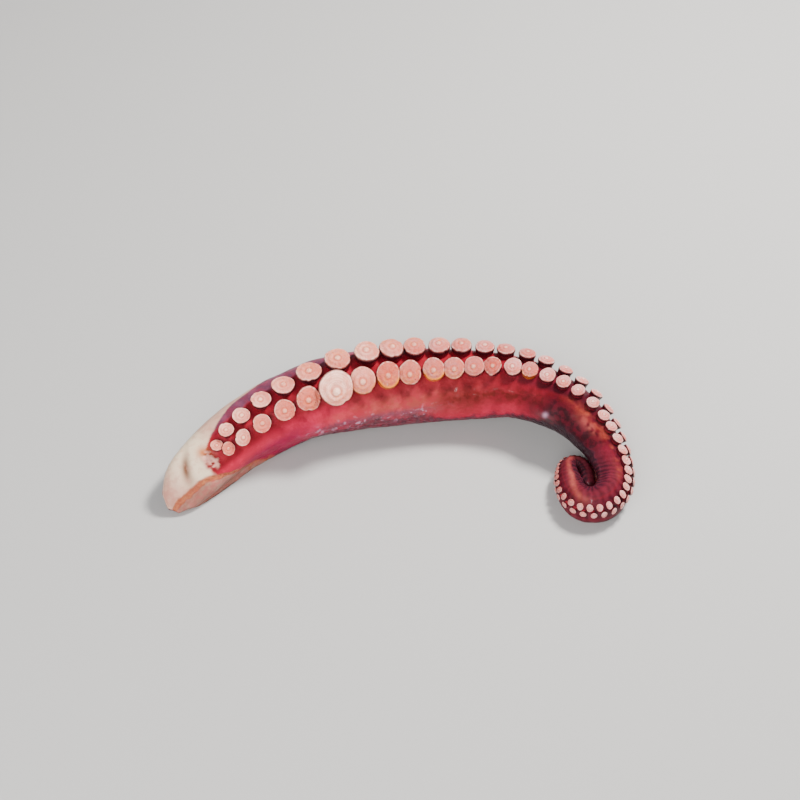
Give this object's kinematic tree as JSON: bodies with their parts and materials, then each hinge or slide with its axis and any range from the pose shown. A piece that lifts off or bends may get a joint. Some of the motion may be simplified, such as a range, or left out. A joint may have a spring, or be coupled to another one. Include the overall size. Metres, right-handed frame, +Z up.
{
  "type": "cooked octopus arm",
  "caption": "Cooked octopus arm lying on its side in an arch, thick cut root at one end, two rows of suckers along its upper side, thin end rolled into a curl",
  "frame": {"origin": "on the table, under the middle of the arm's box", "axes": "+X along the arm's lying length from the cut root to the curl, +Y towards the outer side of the arch, +Z up"},
  "size_m": [0.2054, 0.0875, 0.0395],
  "materials": {
    "cooked_octopus": "moist cooked skin, crimson to purple, with pinkish white suckers and a cream root"
  },
  "bodies": {
    "root": {"octopus_arm": "cooked_octopus"}
  },
  "joints": []
}
